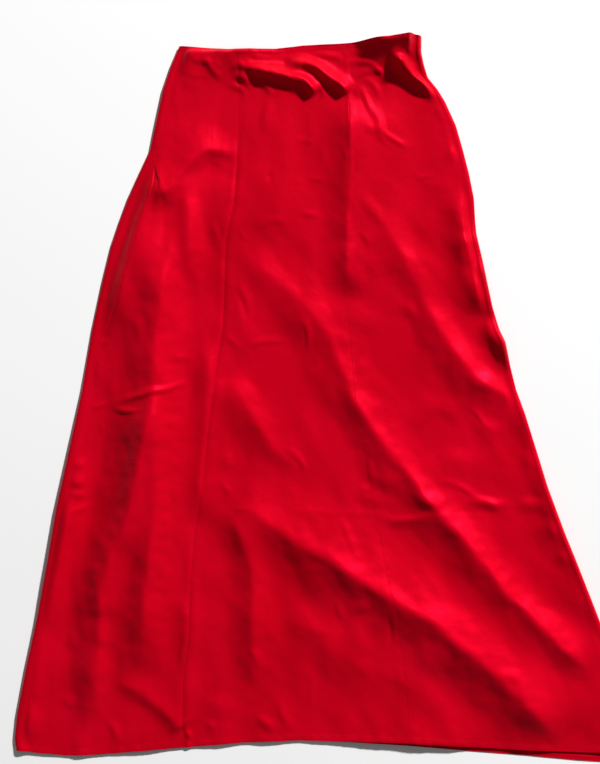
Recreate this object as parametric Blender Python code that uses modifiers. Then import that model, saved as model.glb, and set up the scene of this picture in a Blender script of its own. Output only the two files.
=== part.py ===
"""A long gored A-line skirt in satin, lying flat with its front up.

Six gores make a tube: three in front, three behind. The tube is pressed flat, so each
cross-section runs over the top layer, round a soft roll at each side and back under it.
Tables are in millimetres, X to the viewer's right, Y towards the waist, Z up.
"""

import math

import bmesh
import bpy
import numpy as np

COLLECTION = "maxi_skirt"
MM = 0.001

# The cloth, in millimetres
WALL = 1.2
LAYER_GAP = 0.3
SEAM_GAP = 0.3
HEM_TURN = 8.0
HEM_WALL = 1.7

# The soft roll where the front turns under to the back at each side
ROLL_REACH = 5.0
LEFT_ROLL_FADE = 25.0
RIGHT_ROLL_FADE = 18.0
ROLL_BLUR = (-12.0, -6.0, 0.0, 6.0, 12.0)
REST_RISE = 1.2
EDGE_CALM = 14.0

# Spacing of the mesh, in millimetres
ROW_STEP = 21.0
LEFT_COLUMNS = 10
CENTRE_COLUMNS = 14
RIGHT_COLUMNS = 16
BACK_COLUMNS = 3
ROLL_STEPS = 4
WRAP_STEPS = 6
WRAP_CLOSENESS = 1.5
BESIDE_WRAP_COLUMNS = 3
HEM_FOLD_STEP = 1.0
SPINE_STEP = 6.0

# The outline's middle in the tables, which becomes the part's origin
MIDDLE_X = 12.11
MIDDLE_Y = -2.41

SATIN_RED = (0.62, 0.004, 0.012, 1.0)
SATIN_ROUGHNESS = 0.42

# Left side: where the outer edge of the flat tube runs
LEFT_EDGE = (
    # y, x
    (497, -202),
    (470, -213.5),
    (436, -225),
    (385, -236),
    (350, -243.5),
    (317, -259),
    (282, -275),
    (248, -287.5),
    (214, -299),
    (163, -311.5),
    (95, -326),
    (10, -340),
    (-75, -358.5),
    (-160, -377),
    (-229, -388.5),
    (-314, -404),
    (-382, -419),
    (-450, -432),
    (-484, -435.5),
    (-501, -433),
)
RIGHT_EDGE = (
    # y, x
    (514, 138.5),
    (487, 138.5),
    (470, 142.5),
    (453, 148),
    (436, 162),
    (419, 172.5),
    (385, 188),
    (350, 198),
    (317, 206.5),
    (282, 213.5),
    (248, 215.5),
    (231, 217),
    (197, 225),
    (163, 232),
    (129, 239.5),
    (95, 249.5),
    (78, 257.5),
    (44, 265),
    (10, 273.5),
    (-24, 286),
    (-75, 302),
    (-126, 317.5),
    (-160, 330),
    (-195, 343),
    (-229, 357),
    (-300, 385),
    (-400, 424),
    (-470, 450),
    (-506, 459),
)

# Ends of the layers, by the share of the way across from left to right
WAIST = (
    # across, y
    (0.0, 497),
    (0.06, 495.5),
    (0.2, 492.5),
    (0.4, 493.5),
    (0.51, 498.5),
    (0.65, 500.5),
    (0.7, 501.5),
    (0.8, 505),
    (0.9, 508.5),
    (0.96, 511),
    (1.0, 508.5),
)
FRONT_HEM = (
    # across, y
    (0.0, -501),
    (0.03, -504.5),
    (0.08, -508.5),
    (0.13, -507),
    (0.28, -496),
    (0.36, -490),
    (0.45, -487),
    (0.53, -488.5),
    (0.62, -490.5),
    (0.72, -496.5),
    (0.81, -501),
    (0.89, -504),
    (0.95, -505),
    (1.0, -503),
)
BACK_HEM = (
    # across, y
    (0.0, -501),
    (0.03, -504.5),
    (0.08, -508.5),
    (0.13, -507),
    (0.28, -496),
    (0.36, -490),
    (0.45, -487),
    (0.53, -490),
    (0.62, -495),
    (0.72, -502.5),
    (0.81, -508.5),
    (0.89, -515.5),
    (0.95, -518.5),
    (1.0, -515),
)

# Where the seams between gores run on each layer, and the share of the way across they lie at
LEFT_SEAM_ACROSS = 0.3
RIGHT_SEAM_ACROSS = 0.65
LEFT_SEAM = (
    # y, x
    (497, -126),
    (480, -121),
    (440, -119),
    (400, -118),
    (350, -120),
    (275, -125),
    (220, -137),
    (150, -139),
    (100, -141),
    (50, -149),
    (0, -156),
    (-50, -162),
    (-100, -167),
    (-140, -172),
    (-190, -181),
    (-260, -187),
    (-340, -189),
    (-400, -197),
    (-500, -199),
)
RIGHT_SEAM = (
    # y, x
    (497, 33),
    (440, 36),
    (400, 37),
    (335, 40),
    (290, 38),
    (220, 33),
    (160, 33),
    (100, 38),
    (0, 46),
    (-100, 62),
    (-200, 81),
    (-300, 102),
    (-400, 117),
    (-500, 125),
)
# How far the back wraps up and over the left edge, to the side seam
LEFT_WRAP = (
    # y, width
    (497, 3.5),
    (400, 3.5),
    (355, 4),
    (330, 16),
    (305, 25),
    (285, 30),
    (250, 27),
    (200, 27),
    (150, 25),
    (100, 20),
    (50, 13),
    (0, 8),
    (-100, 6),
    (-300, 5),
    (-501, 5),
)

# How high the roll at each side stands, down the cloth
LEFT_ROLL = (
    # y, rise
    (497, 3),
    (380, 3),
    (340, 1),
    (60, 1),
    (0, 3),
    (-100, 5),
    (-250, 7),
    (-350, 4),
    (-501, 2.5),
)
RIGHT_ROLL = (
    # y, rise
    (519, 21),
    (496, 20),
    (480, 13),
    (462, 5),
    (444, 2),
    (240, 2),
    (216, 8),
    (200, 3),
    (186, 10),
    (168, 11),
    (150, 9),
    (134, 8),
    (118, 3),
    (104, 3),
    (90, 16),
    (62, 16),
    (46, 4),
    (28, 2),
    (0, 3),
    (-30, 6),
    (-60, 3),
    (-105, 7),
    (-150, 9),
    (-225, 10),
    (-270, 7),
    (-330, 4),
    (-506, 2.5),
)
# How far in from the left edge the folds have their full height, down the cloth
LEFT_CALM = (
    # y, width
    (497, 14),
    (345, 14),
    (310, 26),
    (60, 26),
    (0, 14),
    (-501, 14),
)

# Largest folds. A run goes down or to the right, so the lit flank is on its left.
FOLDS = (
    # name, height, left width, right width, crest radius, fade at start, fade at end, run
    ("low_diagonal", 19.5, 84, 68, 6, 210, 84,
     ((-158, -92), (-118, -146), (-60, -190), (20, -239), (80, -275),
      (120, -300), (160, -323), (200, -354), (240, -390), (285, -433), (352, -499))),
    ("middle_diagonal", 11.5, 42, 50, 6, 330, 60,
     ((-150, 232), (-80, 176), (-30, 129), (8, 84), (40, 4), (65, -36), (92, -76),
      (127, -117), (163, -166), (200, -203), (228, -241), (258, -275), (300, -316), (385, -398))),
    ("middle_shoulder", 3.5, 60, 90, 8, 70, 80,
     ((-132, 222), (-80, 180), (-34, 134), (4, 92), (26, 52))),
    ("middle_under", 4, 30, 80, 6, 70, 80,
     ((120, -115), (163, -165), (200, -202), (228, -240), (258, -279), (300, -320), (360, -380))),
    ("high_diagonal", 9, 40, 46, 6, 290, 46,
     ((42, 345), (60, 284), (85, 246), (114, 196), (135, 156), (152, 117), (178, 76),
      (204, 40), (230, 18), (268, 6))),
    ("inner_diagonal", 6.5, 46, 40, 7, 40, 70,
     ((-140, 30), (-108, -16), (-84, -52), (-54, -88), (-14, -126))),
    ("waist_left_wave", 15, 18, 19, 3, 48, 12,
     ((-130, 468), (-100, 463), (-67, 458), (-42, 451), (-24, 443), (-6, 430))),
    ("waist_middle_wave", 13, 20, 16, 3, 24, 12,
     ((-56, 472), (-25, 470), (3, 458), (23, 444), (37, 429))),
    ("waist_right_wave", 14, 13, 19, 4, 26, 14,
     ((92, 490), (106, 478), (120, 461), (134, 448), (150, 440), (168, 427))),
    ("waist_corner", 23, 6, 62, 4, 42, 1,
     ((40, 502), (90, 507), (120, 511), (146, 514))),
    ("waist_facing", 8, 8, 62, 4, 24, 70,
     ((-212, 490), (-160, 487), (-110, 488), (-50, 490))),
    ("hip_lip", 9, 66, 28, 4, 20, 40,
     ((-244, 292), (-224, 292), (-204, 312), (-186, 334), (-160, 351), (-104, 342))),
    ("side_column", 23, 60, 88, 8, 110, 130,
     ((-204, 270), (-226, 170), (-236, 90), (-238, 20), (-236, -50), (-236, -118),
      (-240, -190), (-249, -260), (-256, -330), (-266, -420))),
    ("edge_column", 15, 34, 54, 7, 80, 70,
     ((-240, 20), (-253, -50), (-266, -118), (-280, -180), (-300, -225), (-316, -290), (-320, -360))),
    ("edge_roll_low", 8, 38, 14, 6, 50, 60,
     ((-360, -130), (-372, -180), (-381, -230), (-390, -290), (-396, -340))),
    ("edge_low_column", 9, 28, 40, 7, 40, 70,
     ((-312, -306), (-318, -360), (-324, -420), (-334, -480))),
    ("hip_edge", 12, 90, 30, 6, 50, 190,
     ((-238, 340), (-246, 282), (-260, 248), (-272, 214), (-286, 163), (-302, 110), (-320, 52))),
    ("hip_column", 7, 30, 32, 6, 70, 70,
     ((-198, 322), (-192, 260), (-187, 205), (-184, 140))),
    ("corner_column", 9, 44, 36, 6, 60, 110,
     ((-146, -150), (-128, -176), (-112, -205), (-102, -240), (-98, -300), (-98, -360), (-100, -440))),
    ("seam_rise", 6, 56, 34, 7, 70, 70,
     ((-160, 96), (-165, -4), (-171, -104), (-178, -189))),
    ("seam_rise_low", 5, 46, 30, 8, 60, 60,
     ((-180, -170), (-186, -240), (-190, -340), (-198, -470))),
    ("seam_shadow", 8.5, 150, 40, 5, 50, 60,
     ((38, 432), (38, 390), (37, 330), (35, 270), (35, 220), (40, 170), (50, 134))),
    ("below_long", 3, 54, 44, 8, 70, 100,
     ((-60, -322), (10, -356), (60, -384), (100, -402), (150, -420), (200, -432))),
    ("hem_swell", 3.5, 74, 30, 8, 70, 70,
     ((30, -484), (110, -486), (190, -490), (270, -494))),
    ("right_blob", 7, 18, 34, 5, 26, 26,
     ((230, 116), (252, 86), (262, 40))),
    ("right_shelf", 4, 30, 34, 6, 30, 20,
     ((200, 24), (240, 12), (274, -8))),
    ("right_column", 5, 40, 30, 6, 40, 40,
     ((186, 300), (198, 222), (206, 165), (216, 140), (228, 110))),
    ("hem_diagonal", 5, 34, 20, 5, 40, 14,
     ((-300, -398), (-250, -424), (-232, -441), (-212, -457), (-196, -476))),
)


def cells(length, step):
    """How many equal cells of about this step a length takes."""
    return max(1, round(length / step))


def along(table, at):
    """A table's second column where its first is `at`, whichever way the table runs."""
    rows = np.array(table, float)
    if rows[0, 0] > rows[-1, 0]:
        rows = rows[::-1]
    return np.interp(at, rows[:, 0], rows[:, 1])


def smooth_step(value):
    value = np.clip(value, 0.0, 1.0)
    return value * value * (3.0 - 2.0 * value)


def smooth_run(points):
    """Points every few millimetres on a smooth curve through the given ones."""
    corners = np.array(points, float)
    ends = np.vstack([2 * corners[0] - corners[1], corners, 2 * corners[-1] - corners[-2]])
    run = []
    for index in range(len(corners) - 1):
        a, b, c, d = ends[index : index + 4]
        share = np.linspace(0, 1, cells(np.linalg.norm(c - b), SPINE_STEP), endpoint=False)[:, None]
        run.append(
            b
            + 0.5 * share * (c - a)
            + share**2 * (a - 2.5 * b + 2 * c - 0.5 * d)
            + share**3 * (-0.5 * a + 1.5 * b - 1.5 * c + 0.5 * d)
        )
    return np.vstack(run + [corners[-1:]])


def run_distance(x, y, run):
    """Signed distance to a run, left of it positive, and how far along it the nearest point is."""
    nearest = np.full(x.shape, np.inf)
    side = np.ones(x.shape)
    reached = np.zeros(x.shape)
    travelled = 0.0
    for (ax, ay), (bx, by) in zip(run[:-1], run[1:]):
        dx, dy = bx - ax, by - ay
        length = math.hypot(dx, dy)
        share = np.clip(((x - ax) * dx + (y - ay) * dy) / length**2, 0, 1)
        off_x, off_y = x - ax - share * dx, y - ay - share * dy
        distance = np.hypot(off_x, off_y)
        closer = distance < nearest
        nearest = np.where(closer, distance, nearest)
        side = np.where(closer, np.sign(dx * off_y - dy * off_x), side)
        reached = np.where(closer, travelled + share * length, reached)
        travelled += length
    return nearest * side, reached, travelled


def fold_rise(x, y, fold):
    """Height of one fold: a crest with concave flanks that fades out at both ends."""
    _, height, left_width, right_width, radius, fade_start, fade_end, points = fold
    distance, reached, length = run_distance(x, y, smooth_run(points))
    width = np.where(distance > 0, left_width, right_width)
    share = (np.hypot(distance, radius) - radius) / width
    profile = np.clip(1 - share, 0, 1) ** 2
    fade = smooth_step(reached / fade_start) * smooth_step((length - reached) / fade_end)
    return height * profile * fade


def roll_rise(y, from_left, from_right):
    """Height that the rolls at both sides add, which changes softly down the cloth."""
    left, right = (
        sum(along(table, y + shift) for shift in ROLL_BLUR) / len(ROLL_BLUR)
        for table in (LEFT_ROLL, RIGHT_ROLL)
    )
    flat_topped = np.exp(-((from_left / LEFT_ROLL_FADE) ** 2))
    peaked = np.exp(-from_right / RIGHT_ROLL_FADE)
    return left * flat_topped + right * peaked


def front_rise(x, y, from_left, from_right):
    """How far the front's inner face stands off the layer below it."""
    folds = sum(fold_rise(x, y, fold) for fold in FOLDS)
    calm = smooth_step(from_left / along(LEFT_CALM, y)) * smooth_step(from_right / EDGE_CALM)
    return REST_RISE + roll_rise(y, from_left, from_right) + folds * calm


class Tube:
    """Cross-sections of the flat tube. `down` is the share of the way from waist to hem."""

    def __init__(self, down):
        self.down = down
        self.left = along(LEFT_EDGE, self.height_at(0.0, FRONT_HEM))
        self.right = along(RIGHT_EDGE, self.height_at(1.0, FRONT_HEM))
        self.flat_start = self.left + ROLL_REACH
        self.flat_end = self.right - ROLL_REACH
        self.quarter = ROLL_REACH
        self.round = 2 * self.quarter + self.flat_end - self.flat_start

    def height_at(self, across, hem):
        waist = along(WAIST, across)
        return waist + self.down * (along(hem, across) - waist)

    def place(self, x):
        """Distance round the tube, from its left edge, of a point of a flat stretch."""
        return self.quarter + x - self.flat_start

    def points(self, run, on_top):
        """Inner-face points at distances round the tube from its left edge, on one layer or the other."""
        x = np.clip(self.left + run, self.flat_start, self.flat_end)
        into_left = np.clip(1 - run / self.quarter, 0, 1)
        into_right = np.clip(1 - (self.round - run) / self.quarter, 0, 1)
        turn = np.maximum(into_left, into_right) * math.pi / 2
        outward = np.where(into_right > 0, 1.0, -1.0)
        edge_x = x + outward * ROLL_REACH * np.sin(turn)
        across = (edge_x - self.left) / (self.right - self.left)
        y = np.where(on_top, self.height_at(across, FRONT_HEM), self.height_at(across, BACK_HEM))
        rise = front_rise(x, y, x - self.flat_start, self.flat_end - x)
        top = WALL + LAYER_GAP + rise
        half = (top - WALL) / 2
        lift = half * np.cos(turn)
        z = WALL + half + np.where(on_top, lift, -lift)
        return edge_x, y, z


def row_shares():
    """Shares of the way down for the rows, with a close pair where the hem's turn begins."""
    length = WAIST[0][1] - FRONT_HEM[0][1]
    hem_start = 1 - HEM_TURN / length
    rows = np.linspace(0, hem_start, cells(length, ROW_STEP) + 1)
    return np.concatenate([rows, [hem_start + HEM_FOLD_STEP / length, 1.0]])


def spread(start, end, count, closeness=1.0):
    """Places from start to end, closer together at the start where closeness is over 1."""
    share = np.linspace(0, 1, count + 1) ** closeness
    return start + (end - start) * share


def panel_places(name, tube):
    """Places round the tube of one panel's columns in one row, and which layer each is on."""
    half_gap = SEAM_GAP / 2
    wrap = along(LEFT_WRAP, tube.height_at(0.0, FRONT_HEM))
    left_seam = tube.place(along(LEFT_SEAM, tube.height_at(LEFT_SEAM_ACROSS, FRONT_HEM)))
    right_seam = tube.place(along(RIGHT_SEAM, tube.height_at(RIGHT_SEAM_ACROSS, FRONT_HEM)))
    end = tube.round - tube.quarter
    if name == "front_left":
        near = max(wrap, tube.quarter) + ROLL_REACH
        return np.concatenate([
            spread(wrap + half_gap, near, BESIDE_WRAP_COLUMNS)[:-1],
            spread(near, left_seam - half_gap, LEFT_COLUMNS),
        ])
    if name == "front_centre":
        return spread(left_seam + half_gap, right_seam - half_gap, CENTRE_COLUMNS)
    if name == "front_right":
        return np.concatenate([
            spread(right_seam + half_gap, end, RIGHT_COLUMNS)[:-1],
            spread(end, tube.round - half_gap, ROLL_STEPS),
        ])
    if name == "back_left":
        return np.concatenate([
            spread(left_seam - half_gap, tube.quarter, BACK_COLUMNS)[:-1],
            spread(tube.quarter, 0.0, ROLL_STEPS)[:-1],
            -spread(0.0, wrap - half_gap, WRAP_STEPS, WRAP_CLOSENESS),
        ])
    if name == "back_centre":
        return spread(right_seam - half_gap, left_seam + half_gap, BACK_COLUMNS)
    return np.concatenate([
        spread(tube.round - half_gap, end, ROLL_STEPS)[:-1],
        spread(end, right_seam + half_gap, BACK_COLUMNS),
    ])


def make_material(name):
    material = bpy.data.materials.new(name)
    material.use_nodes = True
    shader = material.node_tree.nodes["Principled BSDF"]
    shader.inputs["Base Color"].default_value = SATIN_RED
    shader.inputs["Roughness"].default_value = SATIN_ROUGHNESS
    shader.inputs["Metallic"].default_value = 0.0
    material.diffuse_color = SATIN_RED
    return material


def make_panel(name, collection):
    """One gore: a grid on the tube's inner face, thickened outwards, thicker along a front hem.

    Each cell is split from its upper left to its lower right, as the long folds run.
    """
    is_front = name.startswith("front")
    mesh = bmesh.new()
    grid = []
    shares = row_shares()
    for share in shares:
        tube = Tube(share)
        places = panel_places(name, tube)
        on_top = is_front | (places < 0)
        x, y, z = tube.points(np.abs(places), on_top)
        spots = np.stack([x - MIDDLE_X, y - MIDDLE_Y, z], axis=1) * MM
        grid.append([mesh.verts.new(spot) for spot in spots])
    for upper, lower in zip(grid[:-1], grid[1:]):
        for a, b, c, d in zip(upper[:-1], upper[1:], lower[1:], lower[:-1]):
            mesh.faces.new((a, d, c))
            mesh.faces.new((a, c, b))
    data = bpy.data.meshes.new(name)
    mesh.to_mesh(data)
    mesh.free()
    panel = bpy.data.objects.new(name, data)
    collection.objects.link(panel)
    data.materials.append(make_material("satin_" + name))
    wall = panel.modifiers.new("wall", "SOLIDIFY")
    wall.offset = 1.0
    wall.thickness = WALL * MM
    if is_front:
        wall.thickness = HEM_WALL * MM
        turned = panel.vertex_groups.new(name="hem_turn")
        columns = len(grid[0])
        hem_points = range(columns * (len(shares) - 2), columns * len(shares))
        turned.add(list(hem_points), 1.0, "REPLACE")
        wall.vertex_group = turned.name
        wall.thickness_vertex_group = WALL / HEM_WALL
    data.shade_smooth()
    return panel


def main():
    for old in list(bpy.data.objects):
        bpy.data.objects.remove(old, do_unlink=True)
    collection = bpy.data.collections.new(COLLECTION)
    bpy.context.scene.collection.children.link(collection)
    for layer in ("front", "back"):
        for gore in ("left", "centre", "right"):
            make_panel(f"{layer}_{gore}", collection)


main()
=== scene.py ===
"""Looks of the long gored satin skirt, lying flat with its front up.

The six gores are thin shells on the forms of their solids, with finer creases, seams and
stitches. Tables are in millimetres, X to the viewer's right, Y towards the waist, Z up.
"""

import math

import bpy
import numpy as np
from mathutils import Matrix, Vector


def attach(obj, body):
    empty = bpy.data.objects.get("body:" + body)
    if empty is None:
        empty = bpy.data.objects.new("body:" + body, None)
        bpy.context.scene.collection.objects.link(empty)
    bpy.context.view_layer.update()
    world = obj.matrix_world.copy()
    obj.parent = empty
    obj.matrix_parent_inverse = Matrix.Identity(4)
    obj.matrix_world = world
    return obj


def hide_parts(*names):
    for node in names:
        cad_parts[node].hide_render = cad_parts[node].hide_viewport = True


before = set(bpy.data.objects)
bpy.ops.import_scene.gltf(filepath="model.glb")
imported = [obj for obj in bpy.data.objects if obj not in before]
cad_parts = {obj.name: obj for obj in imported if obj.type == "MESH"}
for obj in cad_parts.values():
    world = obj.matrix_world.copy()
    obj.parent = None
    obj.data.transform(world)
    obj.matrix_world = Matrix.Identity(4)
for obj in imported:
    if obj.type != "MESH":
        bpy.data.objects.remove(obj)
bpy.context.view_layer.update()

MM = 0.001

# The cloth: the solids' wall and gaps, and the shell that shows
WALL = 1.2
SHELL = 0.45
HEM_PLIES = 2
LAYER_GAP = 0.3
SEAM_GAP = 0.03
HEM_TURN = 8.0

# The soft roll where the front turns under to the back at each side
ROLL_REACH = 5.0
LEFT_ROLL_FADE = 25.0
RIGHT_ROLL_FADE = 18.0
ROLL_BLUR = (-12.0, -6.0, 0.0, 6.0, 12.0)
REST_RISE = 1.2
EDGE_CALM = 14.0

# Spacing of the meshes
FRONT_STEP = 2.85
BACK_STEP = 5.2
SPINE_STEP = 6.0
ROLL_CELLS = 8
# Distances of the first columns from a seam, and of the first rows from the waist edge or hem
SEAM_COLUMNS = (0.0, 0.6, 1.3, 2.2, 3.4)
EDGE_ROWS = (0.0, 0.5, 1.2, 2.2, 3.4, 4.6, 5.6, 6.4, 7.2, 8.2, 9.6)

# The outline's middle in the tables, which is the part's origin
MIDDLE_X = 12.11
MIDDLE_Y = -2.41

# Left side: where the outer edge of the flat tube runs
LEFT_EDGE = (
    # y, x
    (497, -202),
    (470, -213.5),
    (436, -225),
    (385, -236),
    (350, -243.5),
    (317, -259),
    (282, -275),
    (248, -287.5),
    (214, -299),
    (163, -311.5),
    (95, -326),
    (10, -340),
    (-75, -358.5),
    (-160, -377),
    (-229, -388.5),
    (-314, -404),
    (-382, -419),
    (-450, -432),
    (-484, -435.5),
    (-501, -433),
)
RIGHT_EDGE = (
    # y, x
    (514, 138.5),
    (487, 138.5),
    (470, 142.5),
    (453, 148),
    (436, 162),
    (419, 172.5),
    (385, 188),
    (350, 198),
    (317, 206.5),
    (282, 213.5),
    (248, 215.5),
    (231, 217),
    (197, 225),
    (163, 232),
    (129, 239.5),
    (95, 249.5),
    (78, 257.5),
    (44, 265),
    (10, 273.5),
    (-24, 286),
    (-75, 302),
    (-126, 317.5),
    (-160, 330),
    (-195, 343),
    (-229, 357),
    (-300, 385),
    (-400, 424),
    (-470, 450),
    (-506, 459),
)

# Ends of the layers, by the share of the way across from left to right
WAIST = (
    # across, y
    (0.0, 497),
    (0.06, 495.5),
    (0.2, 492.5),
    (0.4, 493.5),
    (0.51, 498.5),
    (0.65, 500.5),
    (0.7, 501.5),
    (0.8, 505),
    (0.9, 508.5),
    (0.96, 511),
    (1.0, 508.5),
)
FRONT_HEM = (
    # across, y
    (0.0, -501),
    (0.03, -504.5),
    (0.08, -508.5),
    (0.13, -507),
    (0.28, -496),
    (0.36, -490),
    (0.45, -487),
    (0.53, -488.5),
    (0.62, -490.5),
    (0.72, -496.5),
    (0.81, -501),
    (0.89, -504),
    (0.95, -505),
    (1.0, -503),
)
# The back's hem lies under the front's up to the middle, then peeks out below it
BACK_HEM = FRONT_HEM[:7] + (
    (0.53, -490),
    (0.62, -495),
    (0.72, -502.5),
    (0.81, -508.5),
    (0.89, -515.5),
    (0.95, -518.5),
    (1.0, -515),
)

# Length of the cut from waist edge to hem, down the left side
CUT_LENGTH = WAIST[0][1] - FRONT_HEM[0][1]

# Where the seams between gores run on each layer, and the share of the way across they lie at
LEFT_SEAM_ACROSS = 0.3
RIGHT_SEAM_ACROSS = 0.65
LEFT_SEAM = (
    # y, x
    (497, -126),
    (480, -121),
    (440, -119),
    (400, -118),
    (350, -120),
    (275, -125),
    (220, -137),
    (150, -139),
    (100, -141),
    (50, -149),
    (0, -156),
    (-50, -162),
    (-100, -167),
    (-140, -172),
    (-190, -181),
    (-260, -187),
    (-340, -189),
    (-400, -197),
    (-500, -199),
)
RIGHT_SEAM = (
    # y, x
    (497, 33),
    (440, 36),
    (400, 37),
    (335, 40),
    (290, 38),
    (220, 33),
    (160, 33),
    (100, 38),
    (0, 46),
    (-100, 62),
    (-200, 81),
    (-300, 102),
    (-400, 117),
    (-500, 125),
)
# How far the back wraps up and over the left edge, to the side seam
LEFT_WRAP = (
    # y, width
    (497, 3.5),
    (400, 3.5),
    (355, 4),
    (330, 16),
    (305, 25),
    (285, 30),
    (250, 27),
    (200, 27),
    (150, 25),
    (100, 20),
    (50, 13),
    (0, 8),
    (-100, 6),
    (-300, 5),
    (-501, 5),
)

# How high the roll at each side stands, down the cloth
LEFT_ROLL = (
    # y, rise
    (497, 3),
    (380, 3),
    (340, 1),
    (60, 1),
    (0, 3),
    (-100, 5),
    (-250, 7),
    (-350, 4),
    (-501, 2.5),
)
RIGHT_ROLL = (
    # y, rise
    (519, 21),
    (496, 20),
    (480, 13),
    (462, 5),
    (444, 2),
    (240, 2),
    (216, 8),
    (200, 3),
    (186, 10),
    (168, 11),
    (150, 9),
    (134, 8),
    (118, 3),
    (104, 3),
    (90, 16),
    (62, 16),
    (46, 4),
    (28, 2),
    (0, 3),
    (-30, 6),
    (-60, 3),
    (-105, 7),
    (-150, 9),
    (-225, 10),
    (-270, 7),
    (-330, 4),
    (-506, 2.5),
)
# How far in from the left edge the folds have their full height, down the cloth
LEFT_CALM = (
    # y, width
    (497, 14),
    (345, 14),
    (310, 26),
    (60, 26),
    (0, 14),
    (-501, 14),
)

# Largest folds. A run goes down or to the right, so the lit flank is on its left.
FOLDS = (
    # name, height, left width, right width, crest radius, fade at start, fade at end, run
    ("low_diagonal", 19.5, 84, 68, 6, 210, 84,
     ((-158, -92), (-118, -146), (-60, -190), (20, -239), (80, -275),
      (120, -300), (160, -323), (200, -354), (240, -390), (285, -433), (352, -499))),
    ("middle_diagonal", 11.5, 42, 50, 6, 330, 60,
     ((-150, 232), (-80, 176), (-30, 129), (8, 84), (40, 4), (65, -36), (92, -76),
      (127, -117), (163, -166), (200, -203), (228, -241), (258, -275), (300, -316), (385, -398))),
    ("middle_shoulder", 3.5, 60, 90, 8, 70, 80,
     ((-132, 222), (-80, 180), (-34, 134), (4, 92), (26, 52))),
    ("middle_under", 4, 30, 80, 6, 70, 80,
     ((120, -115), (163, -165), (200, -202), (228, -240), (258, -279), (300, -320), (360, -380))),
    ("high_diagonal", 9, 40, 46, 6, 290, 46,
     ((42, 345), (60, 284), (85, 246), (114, 196), (135, 156), (152, 117), (178, 76),
      (204, 40), (230, 18), (268, 6))),
    ("inner_diagonal", 6.5, 46, 40, 7, 40, 70,
     ((-140, 30), (-108, -16), (-84, -52), (-54, -88), (-14, -126))),
    ("waist_left_wave", 15, 18, 19, 3, 48, 12,
     ((-130, 468), (-100, 463), (-67, 458), (-42, 451), (-24, 443), (-6, 430))),
    ("waist_middle_wave", 13, 20, 16, 3, 24, 12,
     ((-56, 472), (-25, 470), (3, 458), (23, 444), (37, 429))),
    ("waist_right_wave", 14, 13, 19, 4, 26, 14,
     ((92, 490), (106, 478), (120, 461), (134, 448), (150, 440), (168, 427))),
    ("waist_corner", 23, 6, 62, 4, 42, 1,
     ((40, 502), (90, 507), (120, 511), (146, 514))),
    ("waist_facing", 8, 8, 62, 4, 24, 70,
     ((-212, 490), (-160, 487), (-110, 488), (-50, 490))),
    ("hip_lip", 9, 66, 28, 4, 20, 40,
     ((-244, 292), (-224, 292), (-204, 312), (-186, 334), (-160, 351), (-104, 342))),
    ("side_column", 23, 60, 88, 8, 110, 130,
     ((-204, 270), (-226, 170), (-236, 90), (-238, 20), (-236, -50), (-236, -118),
      (-240, -190), (-249, -260), (-256, -330), (-266, -420))),
    ("edge_column", 15, 34, 54, 7, 80, 70,
     ((-240, 20), (-253, -50), (-266, -118), (-280, -180), (-300, -225), (-316, -290), (-320, -360))),
    ("edge_roll_low", 8, 38, 14, 6, 50, 60,
     ((-360, -130), (-372, -180), (-381, -230), (-390, -290), (-396, -340))),
    ("edge_low_column", 9, 28, 40, 7, 40, 70,
     ((-312, -306), (-318, -360), (-324, -420), (-334, -480))),
    ("hip_edge", 12, 90, 30, 6, 50, 190,
     ((-238, 340), (-246, 282), (-260, 248), (-272, 214), (-286, 163), (-302, 110), (-320, 52))),
    ("hip_column", 7, 30, 32, 6, 70, 70,
     ((-198, 322), (-192, 260), (-187, 205), (-184, 140))),
    ("corner_column", 9, 44, 36, 6, 60, 110,
     ((-146, -150), (-128, -176), (-112, -205), (-102, -240), (-98, -300), (-98, -360), (-100, -440))),
    ("seam_rise", 6, 56, 34, 7, 70, 70,
     ((-160, 96), (-165, -4), (-171, -104), (-178, -189))),
    ("seam_rise_low", 5, 46, 30, 8, 60, 60,
     ((-180, -170), (-186, -240), (-190, -340), (-198, -470))),
    ("seam_shadow", 8.5, 150, 40, 5, 50, 60,
     ((38, 432), (38, 390), (37, 330), (35, 270), (35, 220), (40, 170), (50, 134))),
    ("below_long", 3, 54, 44, 8, 70, 100,
     ((-60, -322), (10, -356), (60, -384), (100, -402), (150, -420), (200, -432))),
    ("hem_swell", 3.5, 74, 30, 8, 70, 70,
     ((30, -484), (110, -486), (190, -490), (270, -494))),
    ("right_blob", 7, 18, 34, 5, 26, 26,
     ((230, 116), (252, 86), (262, 40))),
    ("right_shelf", 4, 30, 34, 6, 30, 20,
     ((200, 24), (240, 12), (274, -8))),
    ("right_column", 5, 40, 30, 6, 40, 40,
     ((186, 300), (198, 222), (206, 165), (216, 140), (228, 110))),
    ("hem_diagonal", 5, 34, 20, 5, 40, 14,
     ((-300, -398), (-250, -424), (-232, -441), (-212, -457), (-196, -476))),
)

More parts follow.
